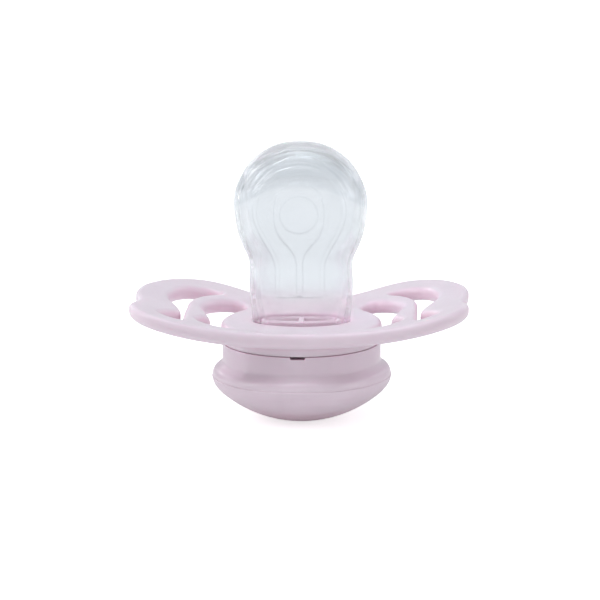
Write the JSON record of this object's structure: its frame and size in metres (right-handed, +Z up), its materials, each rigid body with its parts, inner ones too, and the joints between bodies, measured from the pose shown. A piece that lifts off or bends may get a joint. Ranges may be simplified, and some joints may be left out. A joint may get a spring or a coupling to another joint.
{
  "type": "pacifier",
  "caption": "Baby pacifier with a clear flattened silicone nipple, a curved butterfly shield with breathing openings and a round waisted knob.",
  "frame": {"origin": "centre of the small flat pad under the knob, on the knob's axis, where the standing pacifier touches the table", "axes": "+Z up along the nipple, X along the long way of the shield, -Y the chin side and +Y the notched nose side"},
  "size_m": [0.0554, 0.0367, 0.046],
  "materials": {
    "clear_silicone": "clear, slightly cloudy silicone rubber, smooth and glossy",
    "shield_plastic": "pale lilac pink moulded polypropylene, satin",
    "plug_plastic": "pale lilac pink moulded polypropylene, satin",
    "collar_plastic": "pale lilac pink moulded polypropylene, satin",
    "cap_plastic": "pale lilac pink moulded polypropylene, satin"
  },
  "bodies": {
    "root": {"nipple": "clear_silicone", "shield": "shield_plastic", "vent_plug": "plug_plastic", "knob_collar": "collar_plastic", "knob_cap": "cap_plastic"}
  },
  "joints": []
}
